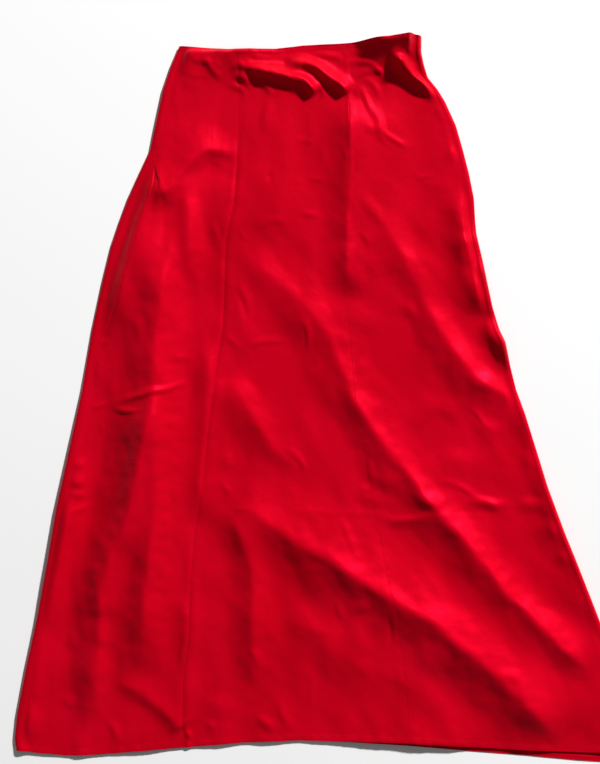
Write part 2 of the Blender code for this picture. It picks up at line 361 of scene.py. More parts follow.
# Finer creases, ridges and (negative) troughs. The lit flank is on the left of a run.
CREASES = (
    # name, height, left width, right width, crest radius, run
    ("waist_facing_ridge", 1.6, 14, 5, 2, ((-212, 467), (-182, 456), (-150, 457))),
    ("waist_facing_soft", 1.2, 10, 12, 3, ((-206, 449), (-172, 444))),
    ("waist_left_slant", 4.5, 7, 6, 1.5, ((-175, 488), (-160, 470), (-140, 446))),
    ("waist_left_slant_short", 2.4, 6, 5, 1.5, ((-157, 482), (-142, 462))),
    ("waist_seam_knot", 3.5, 6, 6, 1.5, ((-132, 458), (-120, 471), (-108, 458))),
    ("waist_seam_tab", 3, 8, 8, 2, ((-117, 464), (-108, 445), (-104, 426))),
    ("waist_bright_ridge", 3, 8, 6, 2, ((-82, 482), (-40, 459), (-6, 444), (3, 430))),
    ("waist_line_right", 3, 6, 4, 1.5, ((-20, 487), (20, 482), (34, 472))),
    ("waist_arc", 3.6, 6, 5, 1.5, ((21, 471), (53, 474), (74, 466), (87, 452), (96, 431))),
    ("waist_loop_high", 5, 7, 9, 2, ((94, 473), (110, 479), (128, 471))),
    ("waist_loop_low", 3, 6, 6, 2, ((117, 459), (132, 469), (147, 458))),
    ("corner_line_high", 1.2, 4, 4, 1.5, ((97, 500), (118, 503), (139, 498))),
    ("corner_line_low", 1.2, 4, 3, 1.5, ((111, 488), (138, 490))),
    ("seam_right_top", 1.5, 6, 4, 1.5, ((39, 447), (41, 400), (42, 360), (46, 333))),
    ("seam_right_soft", 1.6, 8, 20, 3, ((32, 424), (29, 385), (34, 350))),
    ("seam_right_nick", 1.5, 6, 4, 1.5, ((29, 353), (36, 332))),
    ("seam_right_slant", 1.5, 6, 4, 1.5, ((42, 440), (57, 424))),
    ("right_top_blot", 2, 8, 8, 2, ((60, 388), (82, 372))),
    ("right_top_line", 2.5, 8, 6, 2, ((70, 419), (77, 395), (85, 368), (104, 353))),
    ("seam_right_hollow_a", 2.6, 8, 22, 3, ((34, 268), (32, 222))),
    ("seam_right_hollow_b", 2.6, 8, 24, 3, ((35, 222), (35, 184))),
    ("seam_right_hollow_c", 2.6, 12, 28, 3, ((46, 190), (54, 144))),
    ("right_blob_high", 3, 10, 16, 3, ((156, 421), (176, 409), (190, 395))),
    ("right_sharp_nick", 2.5, 5, 4, 1.5, ((176, 396), (193, 379))),
    ("right_band_a", 2.5, 10, 14, 3, ((170, 351), (202, 338))),
    ("right_marks", 1.2, 5, 5, 1.5, ((125, 314), (143, 311), (163, 318))),
    ("right_soft_a", 2.2, 14, 28, 4, ((126, 302), (170, 297), (214, 290))),
    ("right_band_b", 2.6, 8, 12, 3, ((180, 223), (224, 216))),
    ("right_fine", 1.5, 5, 4, 1.5, ((206, -10), (220, -25), (242, -52))),
    ("right_soft_arc", 3, 20, 24, 4, ((120, -14), (165, -18), (206, -34))),
    ("right_soft_b", 3, 16, 22, 4, ((146, -84), (190, -90), (234, -97))),
    ("right_soft_c", 3.5, 14, 20, 4, ((206, -40), (236, -46), (262, -60))),
    ("right_long_line", 2, 7, 6, 1.5, ((146, -109), (200, -131), (222, -141), (264, -152))),
    ("leaf", 7, 8, 11, 1.5, ((198, -146), (232, -149), (268, -154))),
    ("right_edge_a", 4, 8, 16, 3, ((297, -88), (322, -150), (346, -214))),
    ("right_edge_b", 4, 10, 34, 4, ((352, -225), (372, -275), (388, -320))),
    ("press_left", 1.5, 5, 4, 1.5, ((-132, -160), (-96, -158))),
    ("press_wedge", 6, 14, 12, 2, ((112, -133), (146, -147), (170, -161))),
    ("press_line", 4.5, 6, 11, 1.5, ((66, -172), (120, -174), (172, -171))),
    ("press_slant", 2.6, 10, 10, 2, ((36, -129), (66, -143), (96, -155))),
    ("press_small", 1.5, 6, 5, 1.5, ((44, -130), (80, -130))),
    ("press_long", 0.7, 5, 4, 1.5, ((-100, -160), (20, -164), (160, -168), (320, -166))),
    ("below_fine", 1.5, 6, 5, 1.5, ((19, -282), (31, -323))),
    ("below_blob", 2.5, 10, 14, 3, ((50, -286), (60, -308))),
    ("below_trough", -1.5, 4, 4, 1.5, ((93, -297), (96, -358))),
    ("left_slant_low", 2.6, 8, 6, 1.5, ((-110, -352), (-95, -367), (-84, -388))),
    ("below_dimple", -1, 5, 5, 2, ((-63, -336), (-57, -341))),
    ("below_soft", 2, 12, 12, 3, ((-26, -327), (16, -333))),
    ("below_thin", 1.2, 5, 4, 1.5, ((-12, -398), (-15, -425), (-14, -448))),
    ("below_spot", 2, 12, 8, 3, ((238, -391), (287, -397))),
    ("hem_blob", 3.5, 8, 9, 2, ((-99, -453), (-82, -460), (-67, -477))),
    ("hem_thin", 2, 7, 5, 1.5, ((-63, -427), (-56, -450), (-45, -473))),
    ("hem_patch", 2, 6, 9, 2, ((-169, -461), (-147, -470))),
    ("hem_zone", 2.6, 14, 18, 3, ((-173, -431), (-140, -436), (-111, -449))),
    ("corner_column_low", 3, 16, 22, 3, ((-106, -350), (-104, -418))),
    ("beside_seam", 2.5, 10, 12, 3, ((-138, -72), (-134, -110))),
    ("beside_seam_line", 1.2, 5, 5, 1.5, ((-143, -121), (-128, -142))),
    ("hem_pinch", 4, 6, 6, 1.5, ((-193, -464), (-190, -496))),
    ("hem_pinch_arm", 2, 5, 4, 1.5, ((-201, -476), (-181, -483))),
    ("seam_left_line", 1.5, 5, 4, 1.5, ((-194, -316), (-203, -384))),
    ("hip_nick", 2, 9, 6, 2, ((-155, 339), (-141, 323))),
    ("hip_seam_dark", 2.5, 6, 8, 2, ((-153, 252), (-152, 213))),
    ("left_soft_high", 2.6, 16, 24, 4, ((-236, 184), (-241, 130))),
    ("left_notch", 2, 8, 10, 2, ((-262, 119), (-258, 82))),
    ("left_ridge", 3, 24, 10, 3, ((-320, 92), (-318, 40), (-316, -4))),
    ("left_by_seam", 3, 6, 20, 3, ((-158, 78), (-160, -6))),
    ("left_tick_high", 1.5, 5, 4, 1.5, ((-322, 77), (-298, 75))),
    ("left_tick_mid", 1.2, 5, 5, 1.5, ((-223, 55), (-183, 54))),
    ("sharp_long", 5, 7, 3.5, 1.2, ((-306, -17), (-280, -5), (-258, 2), (-225, 10), (-180, 22))),
    ("sharp_start", 2.6, 4, 3, 1.2, ((-330, -18), (-302, -4))),
    ("sharp_second", 4, 5, 3, 1.2, ((-303, -17), (-276, -20), (-250, -14))),
    ("left_dot", 1, 5, 4, 1.5, ((-319, -42), (-311, -43))),
    ("seam_dark_low", 3.5, 8, 20, 3, ((-176, -64), (-178, -160))),
    ("edge_wrinkle_a", 2.5, 8, 6, 2, ((-362, -92), (-333, -96))),
    ("edge_wrinkle_b", 3, 8, 7, 2, ((-364, -118), (-332, -122))),
    ("edge_wrinkle_c", 2.5, 6, 7, 2, ((-367, -138), (-327, -138))),
    ("edge_wrinkle_d", 2, 5, 5, 1.5, ((-363, -164), (-340, -158), (-321, -152))),
    ("edge_blob_high", 3.5, 10, 12, 3, ((-320, -220), (-318, -310))),
    ("edge_blob_mid", 2.5, 10, 10, 3, ((-356, -328), (-350, -364))),
    ("edge_blob_low", 5, 22, 26, 4, ((-326, -334), (-328, -428))),
    ("seam_dark_hem", 2, 5, 10, 2, ((-198, -278), (-198, -324))),
    ("hem_trough", -2.6, 14, 30, 4, ((-386, -444), (-364, -503))),
    ("hem_left_spot", 2.5, 10, 12, 3, ((-362, -418), (-357, -444))),
    ("hem_left_slant", 3, 9, 8, 2, ((-313, -446), (-298, -470), (-287, -496))),
    ("centre_dot", -1, 5, 5, 2, ((-80, 318), (-72, 305))),
    ("centre_tick_a", 1.2, 5, 5, 1.5, ((-45, 370), (-26, 364), (-7, 362))),
    ("centre_upright_a", 1.2, 10, 8, 2, ((-20, 427), (-19, 380), (-22, 328))),
    ("centre_upright_b", 0.8, 6, 5, 1.5, ((0, 359), (1, 327))),
    ("centre_tick_b", 1.3, 5, 4, 1.5, ((-21, 310), (-6, 308), (9, 309))),
    ("centre_streak", 3, 14, 8, 2, ((-73, 429), (-84, 370))),
    ("centre_tick_c", 1.6, 6, 5, 1.5, ((-35, 261), (-18, 259), (-1, 260))),
    ("centre_arc", 1.3, 6, 6, 2, ((-90, 245), (-68, 251), (-46, 246))),
    ("centre_tiny", 1, 5, 4, 1.5, ((-118, 236), (-108, 222))),
    ("centre_pair_a", 2, 8, 5, 2, ((-119, 178), (-113, 150), (-106, 130), (-100, 107))),
    ("centre_pair_b", 1.5, 7, 5, 2, ((-124, 148), (-118, 120), (-112, 102))),
    ("centre_hook", 2, 6, 4, 1.5, ((-39, 117), (-26, 109), (-20, 96), (-19, 78), (-17, 56))),
    ("centre_bow", 2, 8, 5, 1.5, ((-117, 67), (-90, 76), (-60, 79), (-43, 74))),
    ("centre_bow_start", 1.2, 6, 5, 1.5, ((-144, 92), (-130, 81), (-116, 68))),
    ("centre_right_tick", 2, 10, 5, 1.5, ((53, 240), (60, 226), (68, 210))),
    ("high_streak", 2, 12, 8, 2, ((46, 303), (65, 270), (85, 245), (102, 230))),
    ("oval_a", 2.6, 18, 16, 4, ((0, 136), (40, 113), (82, 92))),
    ("oval_b", 2.2, 14, 14, 3, ((14, 98), (42, 70))),
    ("oval_c", 2.6, 12, 14, 3, ((82, 72), (112, 46))),
    ("oval_d", 1.8, 10, 12, 3, ((44, 46), (66, 40))),
    ("oval_e", 1, 8, 12, 3, ((112, 190), (128, 164))),
    ("oval_f", 2.2, 8, 10, 3, ((118, 138), (130, 108))),
    ("fine_crest", 2.2, 7, 6, 1.5, ((-57, -68), (-40, -81), (-29, -92), (-24, -118))),
    ("fine_long", 1.6, 6, 5, 1.5, ((22, -158), (30, -180), (40, -205), (56, -237))),
    ("fine_bright", 1.8, 6, 5, 1.5, ((61, -82), (73, -121))),
    ("right_edge_spot_a", 5, 12, 18, 3, ((296, -66), (306, -104))),
    ("right_edge_spot_b", 4, 8, 12, 2, ((270, -150), (300, -152), (322, -150))),
    ("right_edge_spot_c", 5, 12, 20, 3, ((318, -168), (334, -206))),
    ("right_edge_spot_d", 4, 10, 16, 3, ((338, -212), (352, -236))),
    ("flank_gap", 4, 16, 10, 3, ((60, -104), (92, -122), (118, -134))),
    ("left_patch_a", 4, 20, 26, 4, ((-238, 250), (-248, 200), (-252, 150))),
    ("left_patch_b", 3, 16, 20, 4, ((-280, 196), (-286, 140), (-284, 100))),
    ("low_patch_a", 4, 16, 22, 4, ((20, -318), (44, -338), (60, -372))),
    ("low_patch_b", 4, 20, 22, 4, ((120, -350), (150, -372), (190, -384))),
    ("low_patch_c", 4, 26, 20, 4, ((-60, -306), (-30, -322), (6, -322))),
    ("waist_cross", 2.6, 5, 4, 1.5, ((37, 452), (74, 461), (98, 456))),
    ("waist_fan_a", 3, 5, 5, 1.5, ((42, 444), (59, 433), (69, 409), (80, 392))),
    ("waist_fan_b", 2, 5, 4, 1.5, ((50, 455), (74, 440), (84, 416))),
    ("waist_fan_c", 2.2, 5, 4, 1.5, ((74, 384), (106, 361), (130, 350))),
    ("waist_spur_a", 4, 6, 5, 1.5, ((-96, 452), (-80, 440), (-72, 424))),
    ("waist_spur_b", 4, 6, 5, 1.5, ((-10, 452), (-2, 438), (0, 420))),
    ("waist_mottle_a", 5, 6, 8, 1.5, ((-130, 456), (-114, 452), (-100, 438))),
    ("waist_mottle_b", 4, 6, 7, 1.5, ((-138, 444), (-118, 436), (-108, 420))),
    ("waist_edge_a", 2, 5, 4, 1.5, ((-190, 486), (-176, 476), (-150, 478))),
    ("waist_edge_b", 1.8, 5, 4, 1.5, ((-110, 486), (-84, 480), (-66, 484))),
    ("waist_edge_c", 1.8, 5, 4, 1.5, ((-60, 487), (-40, 478), (-16, 482))),
    ("waist_edge_d", 2.2, 5, 4, 1.5, ((36, 490), (60, 486), (80, 494))),
    ("waist_band_soft", 7, 6, 44, 3, ((-208, 490), (-150, 488), (-90, 489), (-40, 492))),
    ("corner_band_soft", 6, 6, 30, 3, ((56, 499), (100, 504), (138, 507))),
    ("hip_shade", 11, 120, 60, 4, ((-122, 352), (-124, 300), (-132, 240), (-138, 186))),
    ("hem_swell_soft", 7, 60, 12, 4, ((-30, -488), (60, -488), (150, -490), (230, -492))),
    ("hip_lip_low", -6, 48, 60, 4, ((-176, 352), (-150, 351), (-104, 342))),
    ("hem_leaf", 6, 24, 5, 2, ((-410, -426), (-417, -464), (-421, -496))),
    ("right_lump_b", 4.5, 20, 16, 6, ((204, 236), (208, 208), (214, 178))),
    ("right_lump_c", 5, 20, 16, 6, ((217, 184), (223, 152), (231, 118))),
    ("right_pit", -5.5, 18, 16, 7, ((236, 84), (243, 60), (248, 38))),
)
# Creases that run on to the hem. All others fade out at both ends, over this share of their length.
TO_THE_HEM = ("hem_pinch", "hem_trough")
CREASE_FADE = 0.45
# The cloth is soft, so a crease is made lower and wider than its row says, with a sharper crest.
CREASE_LOWERING = 0.62
CREASE_WIDENING = 1.35
CREST_SHARPENING = 0.6
# How much a small crease's flanks bulge
FLANK_BULGE = 1.2

# How many cells the noise has each way before it repeats
NOISE_CELLS = 64
# Soft unevenness all over: height, size across, stretch down the cloth, seed
UNEVEN = (
    (4.6, 84.0, 0.6, 3),
    (2.1, 40.0, 0.6, 5),
    (0.16, 13.0, 1.0, 7),
)
# How far the folds and creases wander off their runs: shift, size across, seed
WANDER = (
    (4.0, 42.0, 51),
    (1.8, 17.0, 53),
)
# Long soft waves in the folds' own directions: height, size across, stretch along them, seed
COLUMN_WAVES = (
    (1.7, 32.0, 0.3, 31),
    (0.45, 15.0, 0.35, 37),
)
DRAPE_WAVES = (
    (2.5, 46.0, 0.45, 41),
    (0.75, 22.0, 0.5, 43),
)
DRAPE_DIRECTION = math.radians(-52)
# Where the columns at the left end, how softly, and where the diagonal waves start under the waist
COLUMNS_END_X = -200.0
COLUMNS_BLEND = 90.0
DRAPE_START_Y = 330.0
DRAPE_BLEND = 120.0

# Press creases of the back, which lies underneath
BACK_CREASES = (
    # name, height, width, run
    ("back_long", 0.9, 26, ((-150, 330), (-60, 150), (40, -20), (190, -210), (330, -420))),
    ("back_short", 0.8, 20, ((-260, 40), (-200, -90), (-110, -230), (30, -400))),
    ("back_high", 0.7, 16, ((110, 430), (60, 300), (70, 170), (150, 40))),
    ("back_side", 0.7, 18, ((-330, -120), (-300, -260), (-320, -420))),
    ("back_press", 0.5, 5, ((-330, -158), (-100, -161), (120, -166), (330, -164))),
    ("back_low", 0.8, 22, ((120, -300), (220, -360), (380, -440))),
)
BACK_CREASE_RADIUS = 3
BACK_CREASE_FADE = 0.3
# Height, size across, stretch down the cloth, seed
BACK_UNEVEN = (0.35, 46.0, 0.6, 23)
# The ridges that the back's seams press into it
BACK_SEAM_LIFT = 0.5
BACK_SEAM_WIDTH = 2.0

# How deep the seams' grooves are, down the cloth. The right one stands up near the waist.
LEFT_SEAM_DEPTH = (
    # y, depth
    (500, 0.2),
    (440, 0.4),
    (400, 1.1),
    (300, 1.2),
    (120, 0.8),
    (-20, 1.1),
    (-140, 0.5),
    (-280, 0.9),
    (-380, 0.5),
    (-480, 1.0),
)
RIGHT_SEAM_DEPTH = (
    # y, depth
    (500, 0.1),
    (440, -0.9),
    (350, -0.9),
    (300, -0.3),
    (180, -0.3),
    (100, 0.06),
    (-480, 0.05),
)
SEAM_GROOVE_WIDTH = 3.4
SEAM_ALLOWANCE = 9.0
SEAM_PLY = 0.1
SEAM_PLY_FADE = 6.0
# The front's outer face comes to rest softly no lower than this over the floor
FRONT_LOWEST = 3.2
SETTLE = 0.4
# Puckers: their height, and their size and seed along a seam
PUCKER = 0.25
SEAM_PUCKER = (9, 11)
# Puckers along an edge: slant, stretch away from it, size, seed, reach
HEM_PUCKER = (0.6, 0.4, 8, 13, 16)
WAIST_PUCKER = (-0.5, 0.5, 11, 17, 14)

# The turned edges: how high their plies stand, and over what width they step down
HEM_STEP = 0.5
HEM_PLY_FADE = 1.2
WAIST_STEP = 0.3
WAIST_PLY_FADE = 1.5
# The rounded lip that stands up along the waist edge
WAIST_LIP = 1.1
WAIST_LIP_WIDTH = 1.6

# Stitch rows along the waist edge and the hem, in a shallow groove
STITCH_FROM_WAIST = 7.0
STITCH_FROM_HEM = 6.4
STITCH_GROOVE = 0.3
STITCH_GROOVE_WIDTH = 1.0
STITCH_LENGTH = 2.4
STITCH_PITCH = 3.1
STITCH_RADIUS = 0.2
# Stitches underneath sit deeper in their groove, so they stay off the floor
STITCH_LIFT_BELOW = 0.3
STITCH_SIDES = 5
# A stitch's rings of points: how thick it is there and how high it arches, in radii
STITCH_TAPER = (0.5, 1.0, 1.0, 0.5)
STITCH_ARCH = (-0.6, 0.9, 0.9, -0.6)

# The photograph's frame on the cloth, in millimetres in the tables' coordinates
FRAME_CENTRE_X = -31.95
FRAME_CENTRE_Y = 21.3
FRAME_HEIGHT = 1084.9
CAMERA_DISTANCE = 2.6
SENSOR = 36.0
CAMERA_REACH = 50.0

# A soft lamp from the upper right, an even fill from all around, and the floor, in metres
LIGHT_FROM = math.radians(55)
LIGHT_ELEVATION = math.radians(32)
LAMP_DISTANCE = 10.0
LAMP_SIZE = 0.87
LAMP_POWER = 1600.0
FILL_STRENGTH = 0.155
FLOOR_SIZE = 12.0

# Colours: the dye's deep and bright shades, the tint of the satin's gloss and sheen, the thread
DYE_DEEP = (0.53, 0.0002, 0.0078, 1)
DYE_BRIGHT = (0.63, 0.0003, 0.0128, 1)
SATIN_TINT = (1.0, 0.0, 0.13, 1)
PLAIN_RED = (0.62, 0.004, 0.012, 1)
THREAD_DEEP = (0.38, 0.0006, 0.006, 1)
THREAD_BRIGHT = (0.62, 0.0012, 0.012, 1)
THREAD_TINT = (1.0, 0.1, 0.2, 1)
FLOOR_COLOUR = (0.93, 0.93, 0.93, 1)
WHITE = (1, 1, 1, 1)


def cells(length, step):
    """How many equal cells of about this step a length takes."""
    return max(1, round(length / step))


def along(table, at):
    """A table's second column where its first is `at`, whichever way the table runs."""
    rows = np.array(table, float)
    if rows[0, 0] > rows[-1, 0]:
        rows = rows[::-1]
    return np.interp(at, rows[:, 0], rows[:, 1])


def smooth_step(value):
    """0 below 0 and 1 above 1, with a soft change between."""
    value = np.clip(value, 0.0, 1.0)
    return value * value * (3.0 - 2.0 * value)


def hump(distance, width):
    """1 in the middle and fading to 0 a few widths away."""
    return np.exp(-((distance / width) ** 2))


def smooth_run(points):
    """Points every few millimetres on a smooth curve through the given ones."""
    corners = np.array(points, float)
    ends = np.vstack([2 * corners[0] - corners[1], corners, 2 * corners[-1] - corners[-2]])
    run = []
    for index in range(len(corners) - 1):
        a, b, c, d = ends[index : index + 4]
        share = np.linspace(0, 1, cells(np.linalg.norm(c - b), SPINE_STEP), endpoint=False)[:, None]
        run.append(
            b
            + 0.5 * share * (c - a)
            + share**2 * (a - 2.5 * b + 2 * c - 0.5 * d)
            + share**3 * (-0.5 * a + 1.5 * b - 1.5 * c + 0.5 * d)
        )
    return np.vstack(run + [corners[-1:]])


def run_distance(x, y, run):
    """Signed distance to a run, left of it positive, and how far along it the nearest point is."""
    nearest = np.full(x.shape, np.inf)
    side = np.ones(x.shape)
    reached = np.zeros(x.shape)
    travelled = 0.0
    for (ax, ay), (bx, by) in zip(run[:-1], run[1:]):
        dx, dy = bx - ax, by - ay
        length = math.hypot(dx, dy)
        share = np.clip(((x - ax) * dx + (y - ay) * dy) / length**2, 0, 1)
        off_x, off_y = x - ax - share * dx, y - ay - share * dy
        distance = np.hypot(off_x, off_y)
        closer = distance < nearest
        nearest = np.where(closer, distance, nearest)
        side = np.where(closer, np.sign(dx * off_y - dy * off_x), side)
        reached = np.where(closer, travelled + share * length, reached)
        travelled += length
    return nearest * side, reached, travelled


def flank_share(x, y, row):
    """How far down a fold's or crease's flank, how far along its run, and the run's length."""
    _, _, left_width, right_width, radius, _, _, points = row
    distance, reached, length = run_distance(x, y, smooth_run(points))
    width = np.where(distance > 0, left_width, right_width)
    return (np.hypot(distance, radius) - radius) / width, reached, length


def fold_rise(x, y, fold):
    """Height of one fold: a crest with concave flanks that fades out at both ends."""
    _, height, _, _, _, fade_start, fade_end, _ = fold
    share, reached, length = flank_share(x, y, fold)
    profile = np.clip(1 - share, 0, 1) ** 2
    fade = smooth_step(reached / fade_start) * smooth_step((length - reached) / fade_end)
    return height * profile * fade


def crease_rise(x, y, crease):
    """Height of one small crease, with rounder flanks than a fold. Its fades are shares of its length."""
    _, height, _, _, _, fade_start, fade_end, _ = crease
    share, reached, length = flank_share(x, y, crease)
    profile = np.clip(1 - share, 0, 1) ** 2 * (1 + FLANK_BULGE * share)
    fade = np.ones(x.shape)
    if fade_start:
        fade = fade * smooth_step(reached / (fade_start * length))
    if fade_end:
        fade = fade * smooth_step((length - reached) / (fade_end * length))
    return height * profile * fade


def soft_crease(row):
    """A crease as the cloth makes it, from its row: softened, whole millimetres wide, with its fades."""
    name, height, left_width, right_width, radius, points = row
    return (
        name,
        round(height * CREASE_LOWERING, 2),
        round(left_width * CREASE_WIDENING),
        round(right_width * CREASE_WIDENING),
        round(radius * CREST_SHARPENING, 1),
        CREASE_FADE,
        0 if name in TO_THE_HEM else CREASE_FADE,
        points,
    )


def add_where_near(total, x, y, rise, row):
    """Adds a fold's or crease's height to the points in its reach only."""
    _, _, left_width, right_width, radius, _, _, points = row
    reach = max(left_width, right_width) + radius
    corners = np.array(points, float)
    low, high = corners.min(axis=0) - reach, corners.max(axis=0) + reach
    near = (x > low[0]) & (x < high[0]) & (y > low[1]) & (y < high[1])
    if near.any():
        total[near] += rise(x[near], y[near], row)


def gradient_noise(x, y, size, seed):
    """Smooth noise between about -0.7 and 0.7, with waves of about this size."""
    turns = np.random.RandomState(seed).uniform(0, 2 * math.pi, (NOISE_CELLS, NOISE_CELLS))
    column, row = np.floor(x / size).astype(int), np.floor(y / size).astype(int)
    in_x, in_y = x / size - column, y / size - row

    def pull(right, up):
        turn = turns[(row + up) % NOISE_CELLS, (column + right) % NOISE_CELLS]
        return np.cos(turn) * (in_x - right) + np.sin(turn) * (in_y - up)

    blend_x = in_x**3 * (in_x * (6 * in_x - 15) + 10)
    blend_y = in_y**3 * (in_y * (6 * in_y - 15) + 10)
    low = pull(0, 0) * (1 - blend_x) + pull(1, 0) * blend_x
    high = pull(0, 1) * (1 - blend_x) + pull(1, 1) * blend_x
    return low * (1 - blend_y) + high * blend_y


def drape_waves(x, y):
    """Soft waves that run down the cloth left of the left seam, and along the diagonal folds elsewhere."""
    in_columns = 1 - smooth_step((x - COLUMNS_END_X) / COLUMNS_BLEND)
    below_waist = smooth_step((DRAPE_START_Y - y) / DRAPE_BLEND)
    along_folds = x * math.cos(DRAPE_DIRECTION) + y * math.sin(DRAPE_DIRECTION)
    across_folds = y * math.cos(DRAPE_DIRECTION) - x * math.sin(DRAPE_DIRECTION)
    rise = np.zeros(x.shape)
    for height, size, stretch, seed in COLUMN_WAVES:
        rise += in_columns * height * gradient_noise(x, y * stretch, size, seed)
    for height, size, stretch, seed in DRAPE_WAVES:
        wave = gradient_noise(along_folds * stretch, across_folds, size, seed)
        rise += (1 - in_columns) * below_waist * height * wave
    return rise


def seam_rise(x, y):
    """A fine groove where two gores join, the plies pressed under it and puckers along it."""
    rise = np.zeros(x.shape)
    for table, depth in ((LEFT_SEAM, LEFT_SEAM_DEPTH), (RIGHT_SEAM, RIGHT_SEAM_DEPTH)):
        distance = x - along(table, y)
        ply = SEAM_PLY * (1 - smooth_step((np.abs(distance) - SEAM_ALLOWANCE) / SEAM_PLY_FADE))
        pucker = PUCKER * gradient_noise(distance, y, *SEAM_PUCKER) * hump(distance, SEAM_ALLOWANCE)
        rise += ply + pucker - along(depth, y) * hump(distance, SEAM_GROOVE_WIDTH)
    return rise


def edge_pucker(x, from_edge, kind):
    """Puckers along a stitched edge, which fade away from it."""
    slant, stretch, size, seed, reach = kind
    noise = gradient_noise(x + from_edge * slant, from_edge * stretch, size, seed)
    return 2 * PUCKER * noise * hump(from_edge, reach)


def edge_rise(x, from_waist, from_hem):
    """Turned waist edge and narrow hem: their plies, the groove of their stitches and puckers."""
    hem = HEM_STEP * (1 - smooth_step((from_hem - HEM_TURN + HEM_PLY_FADE / 2) / HEM_PLY_FADE))
    hem -= STITCH_GROOVE * hump(from_hem - STITCH_FROM_HEM, STITCH_GROOVE_WIDTH)
    hem += edge_pucker(x, from_hem, HEM_PUCKER)
    waist = WAIST_STEP * (1 - smooth_step((from_waist - STITCH_FROM_WAIST) / WAIST_PLY_FADE))
    waist -= STITCH_GROOVE * hump(from_waist - STITCH_FROM_WAIST, STITCH_GROOVE_WIDTH)
    waist += WAIST_LIP * np.exp(-from_waist / WAIST_LIP_WIDTH)
    waist += edge_pucker(x, from_waist, WAIST_PUCKER)
    return hem + waist


def roll_rise(y, from_left, from_right):
    """Height that the rolls at both sides add, which changes softly down the cloth."""
    left, right = (
        sum(along(table, y + shift) for shift in ROLL_BLUR) / len(ROLL_BLUR)
        for table in (LEFT_ROLL, RIGHT_ROLL)
    )
    flat_topped = np.exp(-((from_left / LEFT_ROLL_FADE) ** 2))
    peaked = np.exp(-from_right / RIGHT_ROLL_FADE)
    return left * flat_topped + right * peaked


def wandered(x, y):
    """Places shifted a little this way and that, so that folds drawn at them get uneven edges."""
    shift_x, shift_y = np.zeros(x.shape), np.zeros(x.shape)
    for shift, size, seed in WANDER:
        shift_x += shift * gradient_noise(x, y, size, seed)
        shift_y += shift * gradient_noise(x, y, size, seed + 1)
    return x + shift_x, y + shift_y


def front_rise(x, y, from_left, from_right):
    """How far the front's inner face stands off the layer below it, without its small creases."""
    fold_x, fold_y = wandered(x, y)
    folds = np.zeros(x.shape)
    for fold in FOLDS:
        add_where_near(folds, fold_x, fold_y, fold_rise, fold)
    calm = smooth_step(from_left / along(LEFT_CALM, y)) * smooth_step(from_right / EDGE_CALM)
    return REST_RISE + roll_rise(y, from_left, from_right) + folds * calm


def front_detail(x, y, from_side, from_waist, from_hem):
    """Small creases and unevenness of the front, which fade out at its sides."""
    fold_x, fold_y = wandered(x, y)
    detail = np.zeros(x.shape)
    for row in CREASES:
        add_where_near(detail, fold_x, fold_y, crease_rise, soft_crease(row))
    for height, size, stretch, seed in UNEVEN:
        detail += height * gradient_noise(x, y * stretch, size, seed)
    detail += drape_waves(x, y) + seam_rise(x, y)
    calm = smooth_step(from_side / EDGE_CALM)
    return detail * calm + edge_rise(x, from_waist, from_hem)


def back_detail(x, y, from_side, from_waist, from_hem):
    """How far the underside's creases lift it off the surface, which it never goes below."""
    lift = np.zeros(x.shape)
    for name, height, width, run in BACK_CREASES:
        crease = (name, height, width, width, BACK_CREASE_RADIUS, BACK_CREASE_FADE, BACK_CREASE_FADE, run)
        add_where_near(lift, x, y, crease_rise, crease)
    height, size, stretch, seed = BACK_UNEVEN
    lift += height * np.clip(gradient_noise(x, y * stretch, size, seed), 0, 1)
    for table in (LEFT_SEAM, RIGHT_SEAM):
        lift += BACK_SEAM_LIFT * hump(x - along(table, y), BACK_SEAM_WIDTH)
    lift += STITCH_GROOVE * hump(from_waist - STITCH_FROM_WAIST, STITCH_GROOVE_WIDTH)
    lift += STITCH_GROOVE * hump(from_hem - STITCH_FROM_HEM, STITCH_GROOVE_WIDTH)
    return lift * smooth_step(from_side / EDGE_CALM)


